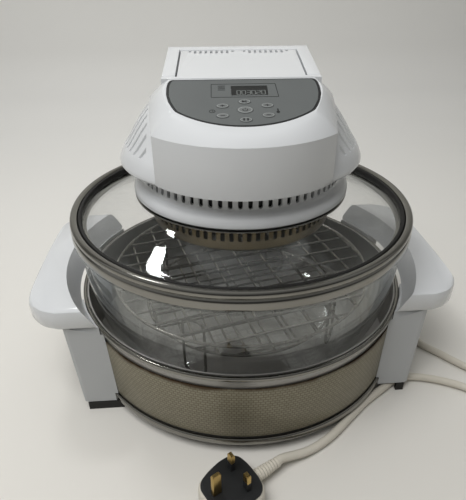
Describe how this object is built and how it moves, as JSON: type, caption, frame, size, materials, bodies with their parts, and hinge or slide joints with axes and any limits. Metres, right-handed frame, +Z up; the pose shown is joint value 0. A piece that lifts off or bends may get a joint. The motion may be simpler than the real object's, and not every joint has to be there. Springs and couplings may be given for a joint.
{
  "type": "halogen oven",
  "caption": "Tabletop halogen oven: clear glass bowl in a round steel stand with side grips, lift-off glass lid with heater head, sloping touch panel and carry handle, mains cord.",
  "frame": {"origin": "on the table under the middle of the bowl", "axes": "+Z up, -Y towards the user at the control panel, +X to the user's right, from grip to grip"},
  "size_m": [0.5467, 0.4695, 0.317],
  "materials": {
    "white_plastic": "glossy moulded white plastic",
    "grey_panel": "matte grey membrane panel",
    "charcoal": "dark charcoal plastic",
    "black_rubber": "black rubber",
    "chrome": "bright chrome",
    "steel": "polished stainless steel",
    "band": "fine woven beige pattern",
    "clear_glass": "clear toughened glass",
    "lamp_glass": "frosted quartz tube",
    "ceramic": "unglazed white ceramic",
    "cord_white": "white flexible PVC",
    "circuit_board": "green circuit board",
    "brass": "plain brass"
  },
  "bodies": {
    "base": {"leg_front_left": "white_plastic", "leg_front_right": "white_plastic", "leg_back_left": "white_plastic", "leg_back_right": "white_plastic", "grip_left": "white_plastic", "grip_right": "white_plastic", "foot_front_left": "black_rubber", "foot_front_right": "black_rubber", "foot_back_left": "black_rubber", "foot_back_right": "black_rubber", "plug_face": "black_rubber", "drum_bottom_ring": "chrome", "drum_top_ring": "chrome", "drum_shell": "steel", "drum_band": "band", "glass_bowl": "clear_glass", "power_cord": "cord_white", "plug_body": "cord_white", "plug_relief": "cord_white", "plug_pin_earth": "brass", "plug_pin_line": "brass", "plug_pin_neutral": "brass"},
    "lid": {"lid_rim": "chrome", "rim_seal": "black_rubber", "lid_glass": "clear_glass", "clamp_ring": "chrome", "head_gasket": "black_rubber", "head_base": "white_plastic", "heater_guard": "steel", "reflector": "steel", "halogen_lamp": "lamp_glass", "lamp_holder_a": "ceramic", "lamp_holder_b": "ceramic", "fan_motor": "steel", "control_board": "circuit_board", "housing": "white_plastic", "control_panel": "grey_panel", "panel_trim": "charcoal", "display_lens": "charcoal", "handle_pin_left": "steel", "handle_pin_right": "steel", "cord_gland": "charcoal"},
    "fan_rotor": {"hot_air_fan": "steel", "cooling_fan": "charcoal"},
    "handle": {"carry_handle": "white_plastic"},
    "rack_low": {"low_rack": "chrome", "rack_loop_a": "chrome", "rack_loop_b": "chrome", "rack_loop_c": "chrome", "rack_loop_d": "chrome"},
    "rack_high": {"high_rack": "chrome"},
    "body_key_play": {"key_play": "grey_panel"},
    "body_key_power": {"key_power": "grey_panel"},
    "body_key_pause": {"key_pause": "grey_panel"},
    "body_key_time_plus": {"key_time_plus": "grey_panel"},
    "body_key_time_minus": {"key_time_minus": "grey_panel"},
    "body_key_temp_plus": {"key_temp_plus": "grey_panel"},
    "body_key_temp_minus": {"key_temp_minus": "grey_panel"}
  },
  "joints": [
    {"name": "lid_lift", "type": "slide", "parent": "base", "child": "lid", "axis": [0, 0, 1], "range_m": [0, 0.15], "deforming": ["power_cord"]},
    {"name": "fan_spin", "type": "hinge", "parent": "lid", "child": "fan_rotor", "pos_m": [0, 0, 0.19], "axis": [0, 0, 1], "continuous": true},
    {"name": "handle_raise", "type": "hinge", "parent": "lid", "child": "handle", "pos_m": [-0.00062, -0.01419, 0.30071], "axis": [0.999, -0.0436, 0], "range_deg": [0, 90]},
    {"name": "low_rack_lift", "type": "slide", "parent": "base", "child": "rack_low", "axis": [0, 0, 1], "range_m": [0, 0.02]},
    {"name": "high_rack_lift", "type": "slide", "parent": "rack_low", "child": "rack_high", "axis": [0, 0, 1], "range_m": [0, 0.04]},
    {"name": "key_play_press", "type": "slide", "parent": "lid", "child": "body_key_play", "axis": [0.0134, 0.3067, -0.9517], "range_m": [0, 0.0007], "stiffness_N_per_m": 400, "springref_m": -0.0005},
    {"name": "key_power_press", "type": "slide", "parent": "lid", "child": "body_key_power", "axis": [0.0134, 0.3067, -0.9517], "range_m": [0, 0.0007], "stiffness_N_per_m": 400, "springref_m": -0.0005},
    {"name": "key_pause_press", "type": "slide", "parent": "lid", "child": "body_key_pause", "axis": [0.0134, 0.3067, -0.9517], "range_m": [0, 0.0007], "stiffness_N_per_m": 400, "springref_m": -0.0005},
    {"name": "key_time_plus_press", "type": "slide", "parent": "lid", "child": "body_key_time_plus", "axis": [0.0134, 0.3067, -0.9517], "range_m": [0, 0.0007], "stiffness_N_per_m": 400, "springref_m": -0.0005},
    {"name": "key_time_minus_press", "type": "slide", "parent": "lid", "child": "body_key_time_minus", "axis": [0.0134, 0.3067, -0.9517], "range_m": [0, 0.0007], "stiffness_N_per_m": 400, "springref_m": -0.0005},
    {"name": "key_temp_plus_press", "type": "slide", "parent": "lid", "child": "body_key_temp_plus", "axis": [0.0134, 0.3067, -0.9517], "range_m": [0, 0.0007], "stiffness_N_per_m": 400, "springref_m": -0.0005},
    {"name": "key_temp_minus_press", "type": "slide", "parent": "lid", "child": "body_key_temp_minus", "axis": [0.0134, 0.3067, -0.9517], "range_m": [0, 0.0007], "stiffness_N_per_m": 400, "springref_m": -0.0005}
  ]
}
